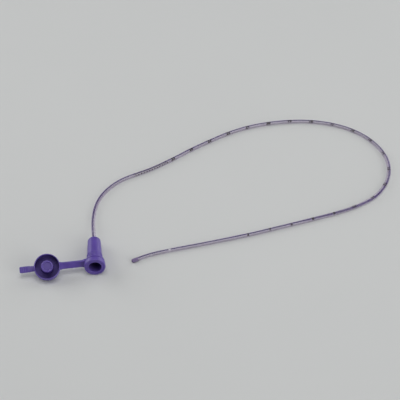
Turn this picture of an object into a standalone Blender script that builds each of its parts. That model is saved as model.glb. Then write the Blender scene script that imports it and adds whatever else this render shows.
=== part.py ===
"""A small-bore feeding tube: a soft marked tube in a moulded hub, whose tethered cap plugs its mouth.

The hub lies on the floor with its axis nearly along Y and its mouth towards -Y.
The strap runs from its collar towards -X and holds the cap, which leans back on its lower edge.
The tube runs from the hub's tail over the floor, round a wide bend and back to its closed tip.
"""

import math

import bmesh
import bpy
from mathutils import Matrix, Vector

MM = 0.001
GAP = 0.3 * MM
SEGMENTS = 40

# Place of the hub: the floor point under the centre of its mouth, and how far its tail turns to +X
MOUTH_X = 13.72 * MM
MOUTH_Y = -7.0 * MM
HUB_TURN = math.radians(1.3)

# Hub, measured from the mouth plane along its axis
HUB_LENGTH = 17.05 * MM
COLLAR_RADIUS = 4.45 * MM
LIP_LENGTH = 2.2 * MM
LIP_EDGE = 0.15 * MM
MOUTH_EDGE = 0.45 * MM
SHOULDER_STEP = 0.25 * MM
COLLAR_LENGTH = 3.7 * MM
SHOULDER_EDGE = 0.4 * MM
BODY_RADIUS = 3.3 * MM
TAIL_RADIUS = 2.75 * MM
TAIL_EDGE = 0.9 * MM
GRIP_RINGS = 3
GRIP_FIRST = 4.9 * MM
GRIP_PITCH = 0.9 * MM
GRIP_WIDTH = 0.4 * MM
GRIP_HEIGHT = 0.1 * MM

# Bore: the funnel at the mouth, the narrow passage and the socket that holds the tube
BORE_RADIUS = 2.72 * MM
BORE_EDGE = 0.25 * MM
BORE_DEPTH = 5.5 * MM
BORE_TAPER = 0.12 * MM
FUNNEL_DEPTH = 9.5 * MM
PASSAGE_RADIUS = 0.5 * MM
SOCKET_DEPTH = 5.5 * MM
SOCKET_CLEARANCE = 0.2 * MM

# Cap: a shallow cup with a stud, leaning back on its lower edge
CAP_RADIUS = 5.5 * MM
CAP_HEIGHT = 3.8 * MM
CAP_BACK_EDGE = 0.6 * MM
CAP_FLOOR = 1.0 * MM
SKIRT_WALL = 0.38 * MM
RIM_EDGE = 0.12 * MM
STUD_CLEARANCE = 0.2 * MM
STUD_PROUD = 0.8 * MM
STUD_EDGE = 0.3 * MM
STUD_TAPER = 0.06 * MM
RECESS_RADIUS = 1.9 * MM
RECESS_DEPTH = 0.3 * MM
CAP_LEAN = math.radians(60)
CAP_TURN = math.radians(2)

# Pull tab on the cap, opposite the strap
TAB_LENGTH = 6.15 * MM
TAB_NECK_LENGTH = 1.4 * MM
TAB_NECK_WIDTH = 2.4 * MM
TAB_WIDTH = 2.7 * MM
TAB_THICKNESS = 1.1 * MM
TAB_CORNER = 0.5 * MM

# Strap between the collar and the cap, with the two places where it bends
STRAP_STATION = 2.9 * MM
STRAP_SPAN = 10.48 * MM
STRAP_FORWARD = 0.55 * MM
STRAP_WIDTH = 2.9 * MM
STRAP_THICKNESS = 1.3 * MM
STRAP_CORNER = 0.35 * MM
STRAP_SUNK = 0.7 * MM
STRAP_FLARE = 0.3
FLARE_REACH = 0.8 * MM
ROOT_TILT = math.radians(12)
BEND_TILT = math.radians(33.3)
CAP_END_TILT = math.radians(46)
BEND_FROM_ROOT = 3.49 * MM
BEND_FROM_CAP = 1.97 * MM

# Tube
TUBE_RADIUS = 0.835 * MM
TUBE_IN_SOCKET = 5.2 * MM
TUBE_STRAIGHT = 3.0 * MM
TUBE_POINT_SPACING = 4.4 * MM
TUBE_ROUTE_MM = [
    (14.1, 17.6, 1.8), (14.5, 23.8, 1.2), (15.6, 29.6, 0.9), (17.4, 34.4, 0.84), (20.3, 38.8, 0.84),
    (23.9, 42.4, 0.84), (28.3, 45.4, 0.84), (33.0, 47.5, 0.84), (42.2, 51.0, 0.84), (52.7, 56.4, 0.84),
    (61.0, 61.2, 0.84), (69.7, 65.6, 0.84), (78.8, 69.8, 0.84), (88.1, 72.8, 0.84), (97.6, 74.4, 0.84),
    (107.5, 74.8, 0.84), (117.5, 73.8, 0.84), (127.3, 71.0, 0.84), (136.0, 66.3, 0.84), (142.9, 59.6, 0.84),
    (147.4, 51.4, 0.84), (148.7, 42.4, 0.84), (146.0, 32.9, 0.84), (139.6, 24.9, 0.84), (130.4, 19.8, 0.84),
    (120.6, 16.6, 0.84), (110.7, 14.2, 0.84), (100.9, 12.0, 0.84), (91.0, 9.9, 0.84), (81.2, 7.9, 0.84),
    (63.8, 5.0, 0.84), (46.3, 2.4, 0.84), (37.5, 0.7, 0.84), (29.4, -2.0, 0.84),
]

PURPLE = (0.165, 0.105, 0.42, 1.0)
CLEAR_LILAC = (0.62, 0.58, 0.68, 1.0)


def make_material(name, color, roughness, alpha=1.0):
    """Return a Principled material of one colour."""
    material = bpy.data.materials.new(name)
    material.use_nodes = True
    shader = material.node_tree.nodes["Principled BSDF"]
    shader.inputs["Base Color"].default_value = color
    shader.inputs["Roughness"].default_value = roughness
    shader.inputs["Metallic"].default_value = 0.0
    shader.inputs["Alpha"].default_value = alpha
    return material


def make_collection(name):
    """Return a new collection linked to the scene."""
    collection = bpy.data.collections.new(name)
    bpy.context.scene.collection.children.link(collection)
    return collection


def arc(center_r, center_z, radius, start_deg, end_deg, steps=4):
    """Return points (r, z) on an arc of a turned profile, 0 degrees outwards and 90 degrees up."""
    points = []
    for step in range(steps + 1):
        angle = math.radians(start_deg + (end_deg - start_deg) * step / steps)
        points.append((center_r + radius * math.cos(angle), center_z + radius * math.sin(angle)))
    return points


def axis_matrix(origin, direction, side):
    """Return a placement with local Z along direction and local X as near side as that allows."""
    z_axis = direction.normalized()
    x_axis = (side - z_axis * side.dot(z_axis)).normalized()
    y_axis = z_axis.cross(x_axis)
    matrix = Matrix((x_axis, y_axis, z_axis)).transposed().to_4x4()
    matrix.translation = origin
    return matrix


def turned_object(name, profile, closed, matrix, material, collection):
    """Return a solid of revolution about local Z: a line profile at +X with a Screw modifier."""
    mesh = bpy.data.meshes.new(name)
    edges = [(index, index + 1) for index in range(len(profile) - 1)]
    if closed:
        edges.append((len(profile) - 1, 0))
    mesh.from_pydata([(r, 0.0, z) for r, z in profile], edges, [])
    mesh.materials.append(material)
    turned = bpy.data.objects.new(name, mesh)
    collection.objects.link(turned)
    turned.matrix_world = matrix
    screw = turned.modifiers.new("turn", "SCREW")
    screw.axis = "Z"
    screw.steps = SEGMENTS
    screw.render_steps = SEGMENTS
    screw.use_merge_vertices = True
    screw.merge_threshold = 0.00001
    screw.use_smooth_shade = True
    return turned


def add_union(base, addition):
    """Join an addition to a base object with a live Boolean."""
    union = base.modifiers.new("join " + addition.name, "BOOLEAN")
    union.operation = "UNION"
    union.solver = "EXACT"
    union.object = addition


def as_hidden_tool(tool):
    """Show an object as a wire tool that is not a part."""
    tool.hide_render = True
    tool.display_type = "WIRE"


def hub_rest():
    """Return the hub's tilt and its mouth's height.

    The hub touches the floor at its lip's rear edge and at its tail, which are both rounded.
    """
    run = (HUB_LENGTH - TAIL_EDGE) - (LIP_LENGTH - LIP_EDGE)
    drop = (COLLAR_RADIUS - LIP_EDGE) - (TAIL_RADIUS - TAIL_EDGE)
    tilt = math.atan2(drop, run) + math.asin((LIP_EDGE - TAIL_EDGE) / math.hypot(run, drop))
    height = (LIP_LENGTH - LIP_EDGE) * math.sin(tilt)
    height += (COLLAR_RADIUS - LIP_EDGE) * math.cos(tilt) + LIP_EDGE
    return tilt, height


HUB_TILT, MOUTH_HEIGHT = hub_rest()
HUB_SIDE = Vector((math.cos(HUB_TURN), -math.sin(HUB_TURN), 0.0))
HUB_AXIS = HUB_SIDE.cross(Vector((0.0, 0.0, 1.0))) * math.cos(HUB_TILT) + Vector((0.0, 0.0, math.sin(HUB_TILT)))
MOUTH = Vector((MOUTH_X, MOUTH_Y, MOUTH_HEIGHT))
SOCKET_RADIUS = TUBE_RADIUS + SOCKET_CLEARANCE
SHOULDER_RADIUS = COLLAR_RADIUS - SHOULDER_STEP
STUD_RADIUS = BORE_RADIUS - STUD_CLEARANCE
STRAP_ROOT = MOUTH - HUB_AXIS * STRAP_STATION - HUB_SIDE * SHOULDER_RADIUS

CAP_AXIS = Vector((0.0, -math.cos(CAP_LEAN), math.sin(CAP_LEAN)))
CAP_UP = Vector((0.0, math.sin(CAP_LEAN), math.cos(CAP_LEAN)))
CAP_SIDE = Vector((1.0, 0.0, 0.0)) * math.cos(CAP_TURN) + CAP_UP * math.sin(CAP_TURN)


def cap_middle():
    """Return the centre of the cap at half its height, with its back edge resting on the floor."""
    back_height = (CAP_RADIUS - CAP_BACK_EDGE) * math.cos(CAP_LEAN)
    back_height += CAP_BACK_EDGE * (1.0 - math.sin(CAP_LEAN))
    middle_x = STRAP_ROOT.x - STRAP_SPAN - CAP_RADIUS * CAP_SIDE.x
    middle_y = STRAP_ROOT.y - STRAP_FORWARD
    return Vector((middle_x, middle_y, back_height + 0.5 * CAP_HEIGHT * math.sin(CAP_LEAN)))


CAP_MIDDLE = cap_middle()
STRAP_END = CAP_MIDDLE + CAP_SIDE * CAP_RADIUS
STRAP_LENGTH = (STRAP_END - STRAP_ROOT).length
STRAP_LINE = (STRAP_END - STRAP_ROOT).normalized()
BEND_FROM_ROOT_TO_CAP = STRAP_LENGTH - BEND_FROM_CAP


def body_radius(station):
    """Return the hub body's radius at a distance from the mouth: a straight taper to the tail."""
    share = (station - COLLAR_LENGTH) / (HUB_LENGTH - COLLAR_LENGTH)
    return BODY_RADIUS + (TAIL_RADIUS - BODY_RADIUS) * share


def hub_outline():
    """Return the hub's outer profile, from its mouth down to its tail."""
    outline = arc(COLLAR_RADIUS - MOUTH_EDGE, -MOUTH_EDGE, MOUTH_EDGE, 90, 0)
    outline += arc(COLLAR_RADIUS - LIP_EDGE, LIP_EDGE - LIP_LENGTH, LIP_EDGE, 0, -60, 2)
    outline.append((SHOULDER_RADIUS, -LIP_LENGTH - LIP_EDGE))
    outline += arc(SHOULDER_RADIUS - SHOULDER_EDGE, SHOULDER_EDGE - COLLAR_LENGTH, SHOULDER_EDGE, 0, -75, 3)
    outline.append((BODY_RADIUS + 0.5 * SHOULDER_EDGE, -COLLAR_LENGTH))
    outline.append((BODY_RADIUS, -COLLAR_LENGTH - SHOULDER_EDGE))
    for ring in range(GRIP_RINGS):
        middle = GRIP_FIRST + ring * GRIP_PITCH
        for offset, rise in ((-0.5, 0.0), (-0.2, 1.0), (0.2, 1.0), (0.5, 0.0)):
            station = middle + offset * GRIP_WIDTH
            outline.append((body_radius(station) + rise * GRIP_HEIGHT, -station))
    outline += arc(TAIL_RADIUS - TAIL_EDGE, TAIL_EDGE - HUB_LENGTH, TAIL_EDGE, 0, -90, 5)
    return outline


def hub_bore():
    """Return the hub's inner profile, from the tube's socket up to the mouth."""
    socket_end = SOCKET_DEPTH - HUB_LENGTH
    bore = [
        (SOCKET_RADIUS, -HUB_LENGTH),
        (SOCKET_RADIUS, socket_end),
        (PASSAGE_RADIUS, socket_end),
        (PASSAGE_RADIUS, -FUNNEL_DEPTH),
        (BORE_RADIUS - BORE_TAPER, -BORE_DEPTH),
    ]
    bore += arc(BORE_RADIUS + BORE_EDGE, -BORE_EDGE, BORE_EDGE, 180, 90, 3)
    return bore


def rounded_section(width, thickness, corner):
    """Return the points (across, through) of a rounded rectangle, counter-clockwise."""
    section = []
    for sign_x, sign_y, start in ((1, 1, 0), (-1, 1, 90), (-1, -1, 180), (1, -1, 270)):
        for turn in (0, 45, 90):
            angle = math.radians(start + turn)
            across = sign_x * (0.5 * width - corner) + corner * math.cos(angle)
            through = sign_y * (0.5 * thickness - corner) + corner * math.sin(angle)
            section.append((across, through))
    return section


def strap_tilt(distance):
    """Return the lean of the strap's width at a distance from its root; it is even between the bends."""
    if distance < BEND_FROM_ROOT:
        share = max(distance, 0.0) / BEND_FROM_ROOT
        return ROOT_TILT + (BEND_TILT - ROOT_TILT) * share
    if distance > BEND_FROM_ROOT_TO_CAP:
        share = (distance - BEND_FROM_ROOT_TO_CAP) / BEND_FROM_CAP
        return BEND_TILT + (CAP_END_TILT - BEND_TILT) * share
    return BEND_TILT


def strap_scale(distance):
    """Return the strap's swelling: 1 along its length, wider where it grows out of the collar."""
    return 1.0 + STRAP_FLARE * math.exp(-((max(distance, 0.0) / FLARE_REACH) ** 2))


def strap_piece(name, start, end, material, collection):
    """Return a length of the strap: rounded sections along its line, each leaned by its tilt."""
    steps = max(2, round((end - start) / (0.6 * MM)))
    builder = bmesh.new()
    rings = []
    for step in range(steps + 1):
        distance = start + (end - start) * step / steps
        tilt = strap_tilt(distance)
        width_axis = Vector((0.0, math.sin(tilt), math.cos(tilt)))
        width_axis = (width_axis - STRAP_LINE * width_axis.dot(STRAP_LINE)).normalized()
        depth_axis = STRAP_LINE.cross(width_axis)
        center = STRAP_ROOT + STRAP_LINE * distance
        scale = strap_scale(distance)
        ring = []
        for across, through in rounded_section(STRAP_WIDTH, STRAP_THICKNESS, STRAP_CORNER):
            place = center + width_axis * across * scale + depth_axis * through * scale
            ring.append(builder.verts.new(place))
        rings.append(ring)
    for ring, following in zip(rings, rings[1:]):
        for index in range(len(ring)):
            neighbour = (index + 1) % len(ring)
            builder.faces.new((ring[index], ring[neighbour], following[neighbour], following[index]))
    builder.faces.new(list(reversed(rings[0])))
    builder.faces.new(rings[-1])
    bmesh.ops.recalc_face_normals(builder, faces=builder.faces)
    mesh = bpy.data.meshes.new(name)
    builder.to_mesh(mesh)
    builder.free()
    mesh.materials.append(material)
    strap = bpy.data.objects.new(name, mesh)
    collection.objects.link(strap)
    return strap


def build_hub(material, parts, tools):
    """Model the hub with the root of its strap."""
    matrix = axis_matrix(MOUTH, HUB_AXIS, HUB_SIDE)
    hub = turned_object("hub", hub_outline() + hub_bore(), True, matrix, material, parts)
    root = strap_piece("strap_root_tool", -STRAP_SUNK, BEND_FROM_ROOT - 0.5 * GAP, material, tools)
    as_hidden_tool(root)
    add_union(hub, root)
    return hub


def cap_profile():
    """Return the cap's profile from the middle of its stud, over its rim, to the middle of its back."""
    stud_top = CAP_HEIGHT + STUD_PROUD
    inner_radius = CAP_RADIUS - SKIRT_WALL
    root_radius = STUD_RADIUS + STUD_TAPER
    profile = [
        (0.0, stud_top - RECESS_DEPTH),
        (RECESS_RADIUS - 0.5 * RECESS_DEPTH, stud_top - RECESS_DEPTH),
        (RECESS_RADIUS, stud_top),
    ]
    profile += arc(STUD_RADIUS - STUD_EDGE, stud_top - STUD_EDGE, STUD_EDGE, 90, 0, 3)
    profile.append((root_radius, CAP_FLOOR))
    profile.append((inner_radius - STUD_EDGE, CAP_FLOOR))
    profile.append((inner_radius, CAP_FLOOR + STUD_EDGE))
    profile += arc(inner_radius + RIM_EDGE, CAP_HEIGHT - RIM_EDGE, RIM_EDGE, 180, 90, 2)
    profile += arc(CAP_RADIUS - RIM_EDGE, CAP_HEIGHT - RIM_EDGE, RIM_EDGE, 90, 0, 2)
    profile += arc(CAP_RADIUS - CAP_BACK_EDGE, CAP_BACK_EDGE, CAP_BACK_EDGE, 0, -90, 4)
    profile.append((0.0, 0.0))
    return profile


def rounded_corner(center_x, center_y, start_deg, steps=3):
    """Return a quarter circle of the tab's corner radius."""
    points = []
    for step in range(steps + 1):
        angle = math.radians(start_deg + 90.0 * step / steps)
        points.append((center_x + TAB_CORNER * math.cos(angle), center_y + TAB_CORNER * math.sin(angle)))
    return points


def tab_outline():
    """Return the tab's outline, with the cap's axis at the origin and the tab along +X."""
    inner = CAP_RADIUS - SKIRT_WALL + 0.5 * RIM_EDGE
    pad_start = CAP_RADIUS + TAB_NECK_LENGTH
    pad_end = CAP_RADIUS + TAB_LENGTH
    half_neck = 0.5 * TAB_NECK_WIDTH
    half_pad = 0.5 * TAB_WIDTH
    outline = [(inner, -half_neck), (pad_start, -half_neck), (pad_start + 0.5 * half_pad, -half_pad)]
    outline += rounded_corner(pad_end - TAB_CORNER, TAB_CORNER - half_pad, -90)
    outline += rounded_corner(pad_end - TAB_CORNER, half_pad - TAB_CORNER, 0)
    outline += [(pad_start + 0.5 * half_pad, half_pad), (pad_start, half_neck), (inner, half_neck)]
    return outline


def mesh_from_curve(curve_object, name, collection):
    """Return a welded mesh object of a curve object, in its place, and remove the curve."""
    bpy.context.view_layer.update()
    depsgraph = bpy.context.evaluated_depsgraph_get()
    mesh = bpy.data.meshes.new_from_object(curve_object.evaluated_get(depsgraph))
    builder = bmesh.new()
    builder.from_mesh(mesh)
    bmesh.ops.remove_doubles(builder, verts=builder.verts, dist=0.000001)
    builder.to_mesh(mesh)
    builder.free()
    solid = bpy.data.objects.new(name, mesh)
    solid.matrix_world = curve_object.matrix_world
    collection.objects.link(solid)
    bpy.data.objects.remove(curve_object)
    return solid


def flat_solid(name, outline, thickness, matrix, material, collection):
    """Return a flat plate of an outline, extruded evenly to both sides of its plane."""
    curve = bpy.data.curves.new(name, "CURVE")
    curve.dimensions = "2D"
    curve.fill_mode = "BOTH"
    curve.extrude = 0.5 * thickness
    spline = curve.splines.new("POLY")
    spline.points.add(len(outline) - 1)
    for point, (x, y) in zip(spline.points, outline):
        point.co = (x, y, 0.0, 1.0)
    spline.use_cyclic_u = True
    curve.materials.append(material)
    plate = bpy.data.objects.new(name + "_curve", curve)
    collection.objects.link(plate)
    plate.matrix_world = matrix
    return mesh_from_curve(plate, name, collection)


def build_cap(material, parts, tools):
    """Model the plug cap with its pull tab."""
    back = CAP_MIDDLE - CAP_AXIS * 0.5 * CAP_HEIGHT
    cap_matrix = axis_matrix(back, CAP_AXIS, -CAP_SIDE)
    cap = turned_object("plug_cap", cap_profile(), False, cap_matrix, material, parts)
    tab_matrix = axis_matrix(CAP_MIDDLE, CAP_AXIS, -CAP_SIDE)
    tab = flat_solid("pull_tab_tool", tab_outline(), TAB_THICKNESS, tab_matrix, material, tools)
    as_hidden_tool(tab)
    add_union(cap, tab)
    return cap


def smooth_route(points, spacing):
    """Return evenly spaced points of a Catmull-Rom curve through the route's points."""
    padded = [2 * points[0] - points[1]] + points + [2 * points[-1] - points[-2]]
    fine = []
    for index in range(1, len(padded) - 2):
        before, start, end, after = padded[index - 1:index + 3]
        for step in range(24):
            t = step / 24
            bend = 2 * before - 5 * start + 4 * end - after
            curl = 3 * start - before - 3 * end + after
            fine.append(0.5 * (2 * start + (end - before) * t + bend * t ** 2 + curl * t ** 3))
    fine.append(points[-1])
    total = sum((second - first).length for first, second in zip(fine, fine[1:]))
    count = max(2, round(total / spacing))
    target = total / count
    even = [fine[0]]
    walked = 0.0
    for first, second in zip(fine, fine[1:]):
        step_length = (second - first).length
        while len(even) < count and walked + step_length >= len(even) * target:
            share = (len(even) * target - walked) / step_length
            even.append(first.lerp(second, share))
        walked += step_length
    even.append(fine[-1])
    return even


def tube_points():
    """Return the tube's mid-line: out of the socket, down to the floor, round the bend to the tip."""
    exit_point = MOUTH - HUB_AXIS * HUB_LENGTH
    route = [exit_point + HUB_AXIS * TUBE_IN_SOCKET, exit_point, exit_point - HUB_AXIS * TUBE_STRAIGHT]
    route += [Vector(point) * MM for point in TUBE_ROUTE_MM]
    return smooth_route(route, TUBE_POINT_SPACING)


def build_tube(material, parts):
    """Model the tube as a round bar along its route."""
    curve = bpy.data.curves.new("feeding_tube", "CURVE")
    curve.dimensions = "3D"
    curve.bevel_depth = TUBE_RADIUS
    curve.bevel_resolution = 2
    curve.use_fill_caps = True
    points = tube_points()
    spline = curve.splines.new("POLY")
    spline.points.add(len(points) - 1)
    for point, place in zip(spline.points, points):
        point.co = (place.x, place.y, max(place.z, TUBE_RADIUS), 1.0)
    curve.materials.append(material)
    tube = bpy.data.objects.new("feeding_tube", curve)
    parts.objects.link(tube)
    return tube


def main():
    """Build the whole part."""
    for old in list(bpy.data.objects):
        bpy.data.objects.remove(old)
    parts = make_collection("feeding_tube_set")
    tools = make_collection("joining_tools")
    purple = make_material("purple_plastic", PURPLE, 0.35)
    lilac = make_material("clear_tube", CLEAR_LILAC, 0.3, 0.6)
    build_hub(purple, parts, tools)
    strap_piece("tether_strap", BEND_FROM_ROOT + 0.5 * GAP, BEND_FROM_ROOT_TO_CAP - 0.5 * GAP, purple, parts)
    strap_piece("tether_tip", BEND_FROM_ROOT_TO_CAP + 0.5 * GAP, STRAP_LENGTH - GAP, purple, parts)
    build_cap(purple, parts, tools)
    build_tube(lilac, parts)


main()
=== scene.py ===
"""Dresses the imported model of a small-bore feeding tube.

The hub, the plug cap, the strap between them and the marked tube are rebuilt as fine surfaces
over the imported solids, each in its solid's place. Lengths are in metres.
"""

import logging
import math
from dataclasses import dataclass, field
from enum import Enum

import bmesh
import bpy
import numpy as np
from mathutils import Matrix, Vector


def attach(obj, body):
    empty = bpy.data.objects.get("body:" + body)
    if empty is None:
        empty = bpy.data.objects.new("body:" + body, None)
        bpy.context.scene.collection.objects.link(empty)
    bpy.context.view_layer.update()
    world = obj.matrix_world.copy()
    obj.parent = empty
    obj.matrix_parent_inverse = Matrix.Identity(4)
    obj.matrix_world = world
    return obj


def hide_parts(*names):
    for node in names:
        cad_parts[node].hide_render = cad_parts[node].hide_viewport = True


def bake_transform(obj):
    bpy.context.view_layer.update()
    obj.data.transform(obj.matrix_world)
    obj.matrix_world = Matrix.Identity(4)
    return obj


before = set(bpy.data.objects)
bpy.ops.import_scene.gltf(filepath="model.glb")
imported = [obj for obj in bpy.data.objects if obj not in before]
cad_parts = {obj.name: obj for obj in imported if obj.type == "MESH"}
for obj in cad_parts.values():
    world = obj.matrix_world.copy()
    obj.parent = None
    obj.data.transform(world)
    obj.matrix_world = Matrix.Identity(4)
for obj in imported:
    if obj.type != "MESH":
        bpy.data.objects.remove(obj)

Array = np.ndarray
Colour = tuple[float, float, float]
Place = tuple[float, float, float]
Material = bpy.types.Material
Piece = bpy.types.Object
log = logging.getLogger("feeding_tube")

MM = 0.001
FULL_TURN = 2.0 * math.pi
UP = np.array((0.0, 0.0, 1.0))
ALONG_X = np.array((1.0, 0.0, 0.0))
BACKDROP = (0.53, 0.54, 0.535)
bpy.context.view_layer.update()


class Slot(Enum):
    """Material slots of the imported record."""

    PURPLE = "purple_plastic"
    CLEAR = "clear_tube"


class Body(Enum):
    """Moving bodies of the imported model."""

    HUB = "hub"
    STRAP = "strap"
    STRAP_TIP = "strap_tip"
    CAP = "cap"


def unit(vectors: Array) -> Array:
    """Scale vectors to length 1."""
    return vectors / np.linalg.norm(vectors, axis=-1, keepdims=True)


def smooth_ramp(values: Array, start: float, end: float) -> Array:
    """Rise from 0 at start to 1 at end along 3t^2 - 2t^3, where t is the share of the way."""
    share = np.clip((values - start) / (end - start), 0.0, 1.0)
    return share * share * (3.0 - 2.0 * share)


def bell(values: Array, middle: float, width: float) -> Array:
    """Give exp(-((v - middle) / width)^2), a soft bump of height 1."""
    return np.exp(-(((values - middle) / width) ** 2))


def turns(count: int) -> Array:
    """Give evenly spaced angles of one full turn."""
    return np.linspace(0.0, FULL_TURN, count, endpoint=False)


def read_table(places: Array, stations: Array, table: Array) -> Array:
    """Read a table of points or directions at places between its stations, in straight lines."""
    return np.stack([np.interp(places, stations, table[:, k]) for k in range(3)], axis=-1)


def put_in_scene(name: str, data: bpy.types.ID) -> Piece:
    """Make an object of some data and link it to the scene."""
    made = bpy.data.objects.new(name, data)
    bpy.context.scene.collection.objects.link(made)
    return made


def evaluated_mesh(piece: Piece) -> bpy.types.Mesh:
    """Give a new mesh of a piece with its modifiers applied."""
    bpy.context.view_layer.update()
    return bpy.data.meshes.new_from_object(piece.evaluated_get(bpy.context.evaluated_depsgraph_get()))


def rounded_profile(corners: list[tuple[float, float, float]], closed: bool, steps: int = 6) -> Array:
    """Round the corners of a profile.

    A corner between two sides becomes the arc of its radius that touches both sides. Its centre
    lies on the bisector, radius / sin(half angle) from the corner. Sides get a point near each
    end, so that smooth shading stays flat along them.

    Args:
        corners: Corners (r, z, radius) in order.
        closed: Whether the last corner joins the first.
        steps: Spans of each arc.

    Returns:
        Points (r, z) in order.
    """
    table = np.array(corners)
    places, radii = table[:, :2], table[:, 2]
    turn = np.linspace(0.0, 1.0, steps + 1)[:, None]
    parts = []
    for index, (corner, radius) in enumerate(zip(places, radii)):
        at_end = not closed and index in (0, len(places) - 1)
        if at_end or radius <= 0.0:
            parts.append(corner[None])
            continue
        before = unit(places[index - 1] - corner)
        after = unit(places[(index + 1) % len(places)] - corner)
        half = 0.5 * math.acos(float(np.clip(before @ after, -1.0, 1.0)))
        centre = corner + unit(before + after) * radius / math.sin(half)
        first = corner + before * radius / math.tan(half) - centre
        last = corner + after * radius / math.tan(half) - centre
        span = math.pi - 2.0 * half
        bow = (np.sin((1.0 - turn) * span) * first + np.sin(turn * span) * last) / math.sin(span)
        parts.append(centre + bow)
    profile = np.concatenate(parts)
    following = np.roll(profile, -1, axis=0)
    lengths = np.linalg.norm(following - profile, axis=1)
    if not closed:
        lengths[-1] = 0.0
    margin = 0.05 * MM
    held = [
        np.array((here, here + (there - here) * margin / length, there - (there - here) * margin / length))
        if length > 4.0 * margin else here[None]
        for here, there, length in zip(profile, following, lengths)
    ]
    return np.concatenate(held)


@dataclass(frozen=True)
class Axes:
    """A place in the row frame: an origin and three unit directions."""

    origin: Array
    x_axis: Array
    y_axis: Array
    z_axis: Array

    @classmethod
    def along(cls, origin: Array, direction: Array, side: Array) -> "Axes":
        """Set local Z along a direction, and local X as near a side as that allows.

        Args:
            origin: Place of the local origin.
            direction: Direction of local Z.
            side: Direction that local X leans to.

        Returns:
            The axes.
        """
        z_axis = unit(direction)
        x_axis = unit(side - z_axis * (side @ z_axis))
        return cls(origin, x_axis, np.cross(z_axis, x_axis), z_axis)

    def place(self, x: Array, y: Array, z: Array) -> Array:
        """Give origin + x X + y Y + z Z for arrays of local coordinates whose shapes fit together."""
        local = (x[..., None] * self.x_axis, y[..., None] * self.y_axis, z[..., None] * self.z_axis)
        return self.origin + local[0] + local[1] + local[2]


@dataclass
class Shell:
    """Closed forms gathered into one mesh."""

    points: list[Array] = field(default_factory=list)
    faces: list[list[int]] = field(default_factory=list)
    slots: list[int] = field(default_factory=list)
    # Painted shade of each form's points, from 0 to 1.
    recesses: list[Array] = field(default_factory=list)
    count: int = 0

    def take(self, points: Array, faces: list[list[int]], slots: list[int],
             painted_shade: Array | None = None) -> None:
        """Add points and the faces between them.

        Args:
            points: Points, one to a row.
            faces: Each face's points, as row numbers.
            slots: Each face's material index.
            painted_shade: How much shade is painted on each point, from 0 to 1, or None for 0.
        """
        self.faces += [[index + self.count for index in face] for face in faces]
        self.slots += slots
        self.points.append(points)
        self.recesses.append(np.zeros(len(points)) if painted_shade is None else painted_shade)
        self.count += len(points)

    def add(self, grid: Array, ring: bool = False, slots: Array | None = None,
            painted_shade: Array | None = None) -> None:
        """Add one closed grid, whose columns run round it, with its faces pointing outwards.

        The faces are (i, j), (i, j + 1), (i + 1, j + 1), (i + 1, j). The signed volume, the sum
        of a . (b x c) / 6 over the triangles, tells whether they have to be turned round.

        Args:
            grid: Points, rows by columns by 3.
            ring: Whether the last row joins the first; otherwise both ends get a fan of faces.
            slots: Material index of each row's faces, or None for the first material.
            painted_shade: How much shade is painted on each row, from 0 to 1, or None for 0.
        """
        rows, columns = grid.shape[:2]
        row = np.arange(rows if ring else rows - 1)[:, None]
        column = np.arange(columns)[None, :]
        below, beside = (row + 1) % rows * columns, (column + 1) % columns
        corners = (row * columns + column, row * columns + beside, below + beside, below + column)
        quads = np.stack(np.broadcast_arrays(*corners), axis=-1).reshape(-1, 4)
        indices = [0] * len(quads) if slots is None else np.repeat(slots, columns)[:len(quads)].tolist()
        points = grid.reshape(-1, 3)
        # depth carries the painted shade of each point, row by row.
        depth = np.repeat(np.zeros(rows) if painted_shade is None else painted_shade, columns)
        triangles = np.concatenate((quads[:, (0, 1, 2)], quads[:, (0, 2, 3)]))
        fans = np.zeros((0, 3), int)
        if not ring:
            points = np.concatenate((points, grid[:1].mean(axis=1), grid[-1:].mean(axis=1)))
            depth = np.append(depth, depth[[0, -1]])
            middle = np.full(columns, rows * columns)
            last = (rows - 1) * columns
            start = np.stack((middle, beside[0], column[0]), axis=1)
            end = np.stack((middle + 1, column[0] + last, beside[0] + last), axis=1)
            fans = np.concatenate((start, end))
            indices += [indices[0]] * columns + [indices[-1]] * columns
        a, b, c = (points[np.concatenate((triangles, fans))[:, k]] - points[0] for k in range(3))
        order = 1 if float(np.einsum("ij,ij->", a, np.cross(b, c))) > 0.0 else -1
        self.take(points, [face[::order] for face in quads.tolist() + fans.tolist()], indices, depth)

    def make(self, name: str, materials: list[Material]) -> Piece:
        """Make the mesh object, smooth apart from edges over 45 degrees.

        Args:
            name: Name of the piece.
            materials: Its materials, in the order of the slots.

        Returns:
            The object, at the origin.
        """
        mesh = bpy.data.meshes.new(name)
        mesh.from_pydata(np.concatenate(self.points).tolist(), [], self.faces)
        for material in materials:
            mesh.materials.append(material)
        mesh.polygons.foreach_set("material_index", self.slots)
        mesh.polygons.foreach_set("use_smooth", [True] * len(mesh.polygons))
        mesh.set_sharp_from_angle(angle=math.radians(45))
        # Painted shade goes into a point attribute, which the plastic's shader reads to darken its colour.
        painted_shade = np.concatenate(self.recesses)
        if painted_shade.any():
            mesh.attributes.new("painted_shade", "FLOAT", "POINT").data.foreach_set("value", painted_shade)
        mesh.validate()
        mesh.update()
        return put_in_scene(name, mesh)


def finish_piece(piece: Piece, body: Body | None, nodes: tuple[str, ...] = ()) -> Piece:
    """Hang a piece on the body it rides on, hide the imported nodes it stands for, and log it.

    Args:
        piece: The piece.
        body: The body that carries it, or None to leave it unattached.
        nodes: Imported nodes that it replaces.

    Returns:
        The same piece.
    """
    if nodes:
        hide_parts(*nodes)
    if body is not None:
        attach(piece, body.value)
    log.info("%s: %d faces", piece.name, len(piece.data.polygons))
    return piece


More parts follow.
